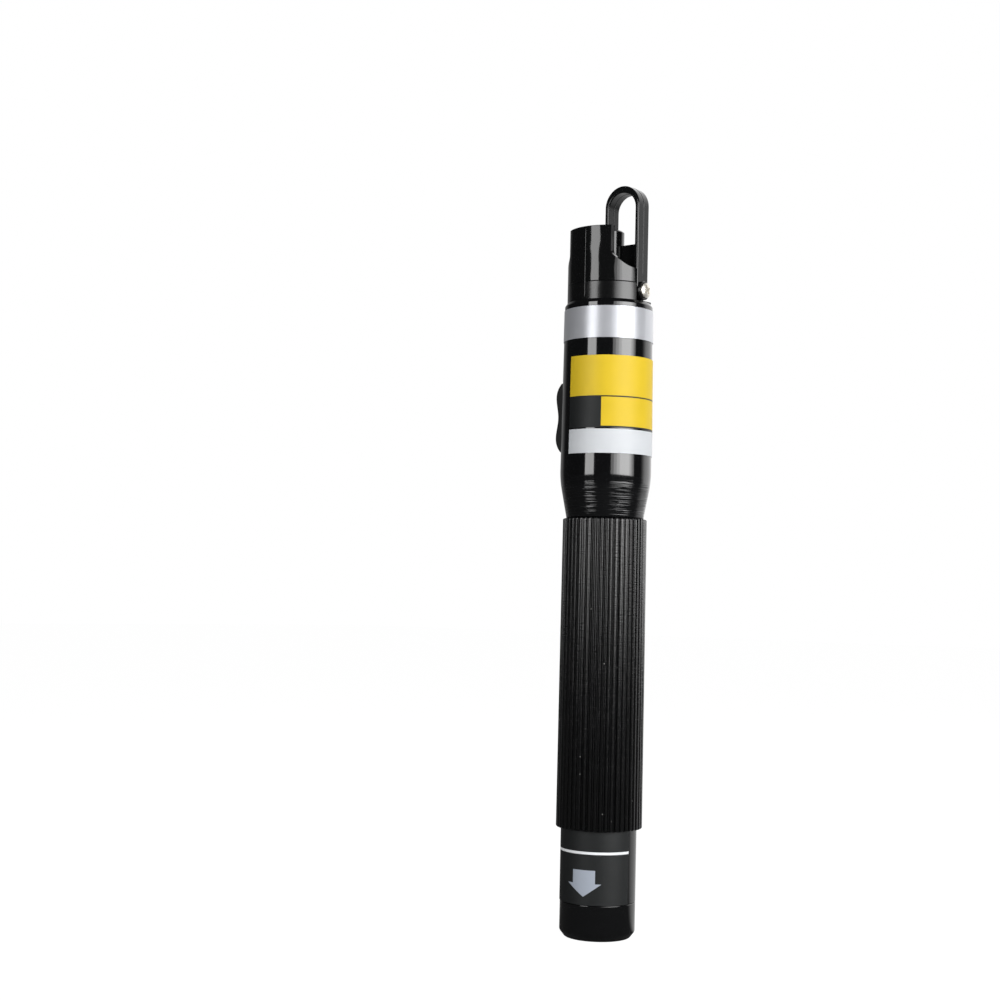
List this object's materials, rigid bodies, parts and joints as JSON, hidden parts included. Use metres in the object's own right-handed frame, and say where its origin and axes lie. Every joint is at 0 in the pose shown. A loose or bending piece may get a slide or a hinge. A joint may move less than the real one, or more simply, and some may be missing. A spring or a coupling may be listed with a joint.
{
  "type": "visual fault locator",
  "caption": "Pen-shaped red laser source for fibre connectors, with a ribbed grip, slide switch, screw-off tail cap, guarded port and a looped flip cap.",
  "frame": {"origin": "centre of the flat end of the tail cap, which the pen stands on", "axes": "+Z along the pen's axis towards the optical port, +X from the axis towards the flip cap's pivot screw, -Y towards the guard's tall tongue"},
  "size_m": [0.0237, 0.0216, 0.1755],
  "materials": {
    "black_anodised": "black anodised aluminium, satin gloss with turning marks on the cone",
    "grip_rubber": "matt black moulded rubber",
    "seal_rubber": "soft black rubber",
    "brass": "machined",
    "spring_steel": "nickel plated wire",
    "cell_can": "plain jacketed cell",
    "insulator": "white moulded plastic",
    "board": "green solder mask",
    "switch_can": "stamped steel can",
    "actuator": "black nylon",
    "knob": "fine satin black plastic",
    "diode_can": "gold flashed steel",
    "lens_glass": "clear, polished",
    "port_steel": "turned stainless steel",
    "zirconia": "polished white ceramic",
    "collar_plastic": "satin black moulded plastic",
    "guard_plastic": "glossy black moulded plastic",
    "cap_plastic": "semi-gloss black moulded plastic",
    "screw_steel": "bright zinc plated steel",
    "silver_foil": "satin silver foil label, bare",
    "front_print": "yellow and black film label, bare",
    "white_print": "white film label, bare",
    "tail_print": "dark satin film label with a plain arrow"
  },
  "bodies": {
    "pen": {"barrel": "black_anodised", "grip_sleeve": "grip_rubber", "rear_cell": "cell_can", "front_cell": "cell_can", "contact_insulator": "insulator", "positive_contact": "brass", "driver_board": "board", "slide_switch": "switch_can", "laser_block": "brass", "laser_diode": "diode_can", "lens_ring": "brass", "focus_lens": "lens_glass", "port_tube": "port_steel", "ceramic_sleeve": "zirconia", "pivot_collar": "collar_plastic", "guard_hood": "guard_plastic", "pivot_screw": "screw_steel", "silver_band": "silver_foil", "front_label": "front_print", "white_strip": "white_print", "tail_label": "tail_print"},
    "tail_contact": {"tail_contact": "brass", "tail_spring": "spring_steel"},
    "tail_cap": {"tail_cap": "black_anodised", "tail_seal": "seal_rubber"},
    "switch_knob": {"switch_knob": "knob", "switch_actuator": "actuator"},
    "flip_cap": {"flip_cap": "cap_plastic", "cap_pad": "seal_rubber"}
  },
  "joints": [
    {"name": "cap_swing", "type": "hinge", "parent": "pen", "child": "flip_cap", "pos_m": [0.0085, 0, 0.15055], "axis": [-1, 0, 0], "range_deg": [0, 75]},
    {"name": "switch_slide", "type": "slide", "parent": "pen", "child": "switch_knob", "axis": [0, 0, 1], "range_m": [0, 0.004]},
    {"name": "tail_draw", "type": "slide", "parent": "pen", "child": "tail_contact", "axis": [0, 0, -1], "range_m": [0, 0.0035], "deforming": ["tail_spring"]},
    {"name": "tail_turn", "type": "hinge", "parent": "tail_contact", "child": "tail_cap", "pos_m": [0, 0, 0], "axis": [0, 0, -1], "range_deg": [0, 1260]}
  ],
  "couplings": [
    {"joint": "tail_turn", "follows": "tail_draw", "rad_per_m": 6283.2}
  ]
}
